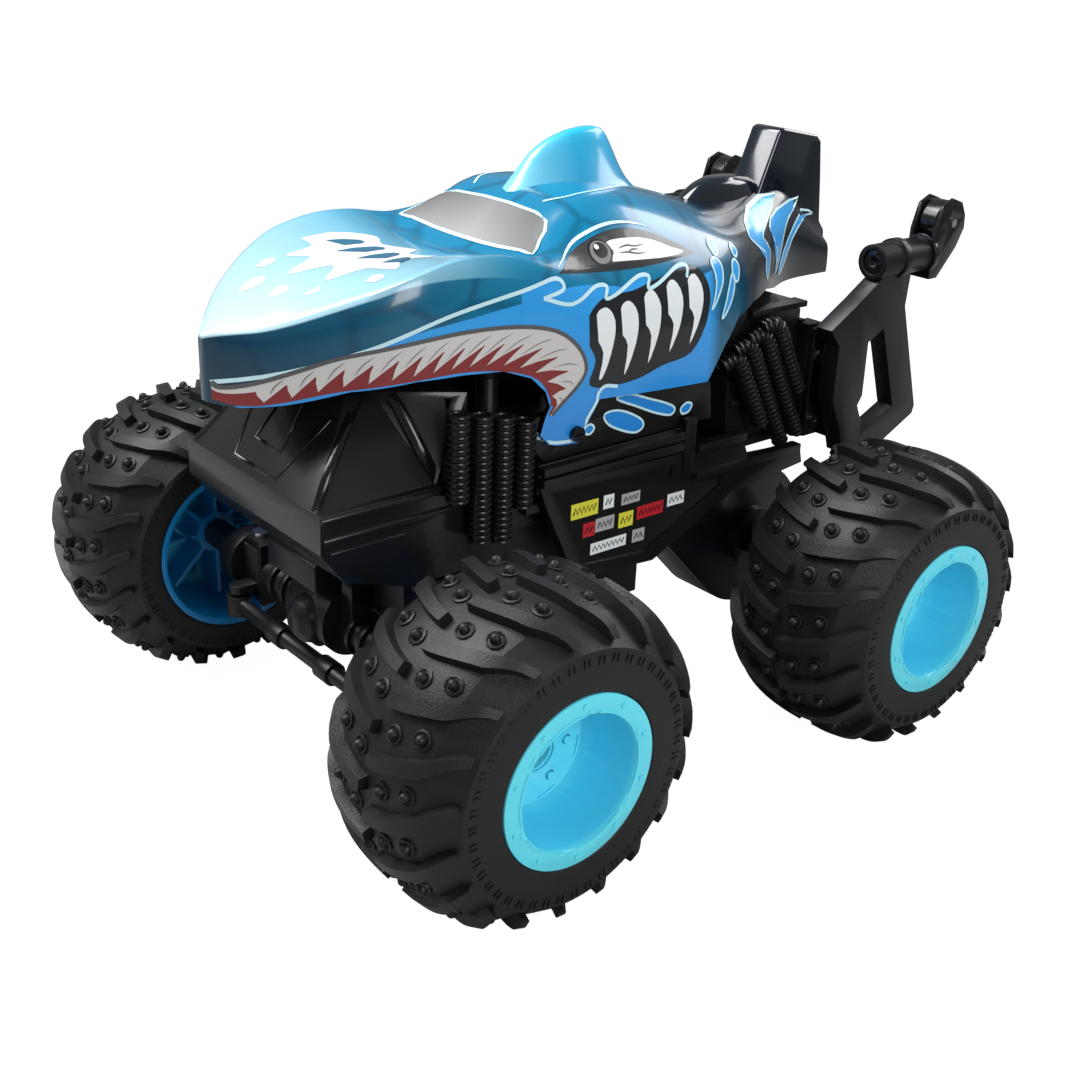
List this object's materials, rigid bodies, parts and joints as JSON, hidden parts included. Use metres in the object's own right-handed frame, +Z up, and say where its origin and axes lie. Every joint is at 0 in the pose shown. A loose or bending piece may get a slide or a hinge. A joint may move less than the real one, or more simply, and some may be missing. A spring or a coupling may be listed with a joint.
{
  "type": "rc stunt truck",
  "caption": "Remote-control stunt truck with a shark-shaped body shell, big lugged tyres, steered front wheels and two raised castors on rear arms.",
  "frame": {"origin": "on the ground under the middle of the whole car", "axes": "+X is the left side of the car, -Y is its front, +Z is up"},
  "size_m": [0.2584, 0.304, 0.213],
  "materials": {
    "tyre_rubber": "satin black rubber",
    "rim_cyan": "bright cyan-blue moulded plastic",
    "black_satin": "satin black moulded plastic",
    "black_gloss": "semi-gloss black moulded plastic",
    "black_ribbed": "ringed black plastic with worn bright edges",
    "shell_blue": "printed blue shell under clear gloss",
    "windscreen_silver": "silver-grey gradient, smooth",
    "castor_roller": "glossy black roller",
    "steel": "bright steel",
    "bronze": "sintered bronze",
    "gear_white": "natural nylon",
    "motor_can": "plated steel can",
    "electronics_black": "black nylon housing",
    "battery_wrap": "blue heat-shrink film",
    "board_green": "green solder mask"
  },
  "bodies": {
    "chassis": {"arm_screws": "steel", "axle_bushes": "bronze", "battery_pack": "battery_wrap", "chassis_deck": "black_satin", "chassis_tub": "black_satin", "cheek_screws": "steel", "circuit_board": "board_green", "drive_motor": "motor_can", "engine_cover": "black_satin", "front_axle_housing": "black_satin", "front_cowl": "black_gloss", "front_pipes_left": "black_ribbed", "front_pipes_right": "black_ribbed", "gearbox_case": "black_satin", "gearbox_cover": "black_satin", "idler_pin": "steel", "kingpins": "steel", "lower_bumper": "black_satin", "rear_axle_tubes": "black_satin", "rear_pipes_left": "black_ribbed", "rear_pipes_right": "black_ribbed", "shark_shell": "shell_blue", "side_panel_left": "black_satin", "side_panel_right": "black_satin", "side_skirt_left": "black_satin", "side_skirt_right": "black_satin", "steering_servo": "electronics_black", "stunt_arm_left": "black_satin", "stunt_arm_right": "black_satin", "switch_body": "electronics_black", "windscreen": "windscreen_silver"},
    "battery_door": {"battery_door": "black_satin"},
    "power_switch": {"switch_knob": "electronics_black"},
    "knuckle_left": {"steering_knuckle_left": "black_satin", "wheel_nut_front_left": "steel"},
    "knuckle_right": {"steering_knuckle_right": "black_satin", "wheel_nut_front_right": "steel"},
    "wheel_front_left": {"rim_front_left": "rim_cyan", "tyre_front_left": "tyre_rubber"},
    "wheel_front_right": {"rim_front_right": "rim_cyan", "tyre_front_right": "tyre_rubber"},
    "tie_rod": {"tie_rod": "black_satin"},
    "servo_horn": {"servo_horn": "gear_white"},
    "rear_axle": {"rear_axle_shaft": "steel", "spur_gear": "gear_white", "rim_rear_left": "rim_cyan", "rim_rear_right": "rim_cyan", "tyre_rear_left": "tyre_rubber", "tyre_rear_right": "tyre_rubber", "rear_wheel_nuts": "steel"},
    "idler_gear": {"idler_gear": "gear_white"},
    "motor_rotor": {"motor_pinion": "gear_white"},
    "castor_fork_left": {"castor_fork_left": "black_gloss", "castor_pin_left": "steel"},
    "castor_fork_right": {"castor_fork_right": "black_gloss", "castor_pin_right": "steel"},
    "castor_wheel_left": {"castor_wheel_left": "castor_roller"},
    "castor_wheel_right": {"castor_wheel_right": "castor_roller"}
  },
  "joints": [
    {"name": "steer_left", "type": "hinge", "parent": "chassis", "child": "knuckle_left", "pos_m": [0.05, -0.09698, 0.055], "axis": [0, 0, 1], "range_deg": [-20, 20]},
    {"name": "steer_right", "type": "hinge", "parent": "chassis", "child": "knuckle_right", "pos_m": [-0.05, -0.09698, 0.055], "axis": [0, 0, 1], "range_deg": [-20, 20]},
    {"name": "tie_rod_pivot", "type": "hinge", "parent": "knuckle_left", "child": "tie_rod", "pos_m": [0.05, -0.10798, 0.042], "axis": [0, 0, 1], "range_deg": [-20, 20]},
    {"name": "servo_horn_turn", "type": "hinge", "parent": "chassis", "child": "servo_horn", "pos_m": [0.026, -0.08397, 0.04], "axis": [0, 0, 1], "range_deg": [-20, 20]},
    {"name": "wheel_front_left_spin", "type": "hinge", "parent": "knuckle_left", "child": "wheel_front_left", "pos_m": [0.0985, -0.09698, 0.055], "axis": [1, 0, 0], "continuous": true},
    {"name": "wheel_front_right_spin", "type": "hinge", "parent": "knuckle_right", "child": "wheel_front_right", "pos_m": [-0.0985, -0.09698, 0.055], "axis": [1, 0, 0], "continuous": true},
    {"name": "rear_axle_spin", "type": "hinge", "parent": "chassis", "child": "rear_axle", "pos_m": [0, 0.07372, 0.055], "axis": [1, 0, 0], "continuous": true},
    {"name": "idler_spin", "type": "hinge", "parent": "chassis", "child": "idler_gear", "pos_m": [0.024, 0.05151, 0.07364], "axis": [1, 0, 0], "continuous": true},
    {"name": "motor_spin", "type": "hinge", "parent": "chassis", "child": "motor_rotor", "pos_m": [0.02, 0.02951, 0.07364], "axis": [1, 0, 0], "continuous": true},
    {"name": "castor_swivel_left", "type": "hinge", "parent": "chassis", "child": "castor_fork_left", "pos_m": [0.056, 0.13337, 0.165], "axis": [0, 1, 0], "continuous": true},
    {"name": "castor_swivel_right", "type": "hinge", "parent": "chassis", "child": "castor_fork_right", "pos_m": [-0.056, 0.13337, 0.165], "axis": [0, 1, 0], "continuous": true},
    {"name": "castor_roll_left", "type": "hinge", "parent": "castor_fork_left", "child": "castor_wheel_left", "pos_m": [0.056, 0.14377, 0.1766], "axis": [1, 0, 0], "continuous": true},
    {"name": "castor_roll_right", "type": "hinge", "parent": "castor_fork_right", "child": "castor_wheel_right", "pos_m": [-0.056, 0.14377, 0.1766], "axis": [1, 0, 0], "continuous": true},
    {"name": "battery_door_hinge", "type": "hinge", "parent": "chassis", "child": "battery_door", "pos_m": [0, -0.05033, 0.047], "axis": [-1, 0, 0], "range_deg": [0, 75]},
    {"name": "power_switch_slide", "type": "slide", "parent": "chassis", "child": "power_switch", "axis": [0, 1, 0], "range_m": [0, 0.004]}
  ],
  "couplings": [
    {"joint": "steer_right", "follows": "steer_left", "ratio": 1},
    {"joint": "tie_rod_pivot", "follows": "steer_left", "ratio": -1},
    {"joint": "servo_horn_turn", "follows": "steer_left", "ratio": 1},
    {"joint": "idler_spin", "follows": "rear_axle_spin", "ratio": -3.8333},
    {"joint": "motor_spin", "follows": "rear_axle_spin", "ratio": 13.033}
  ]
}
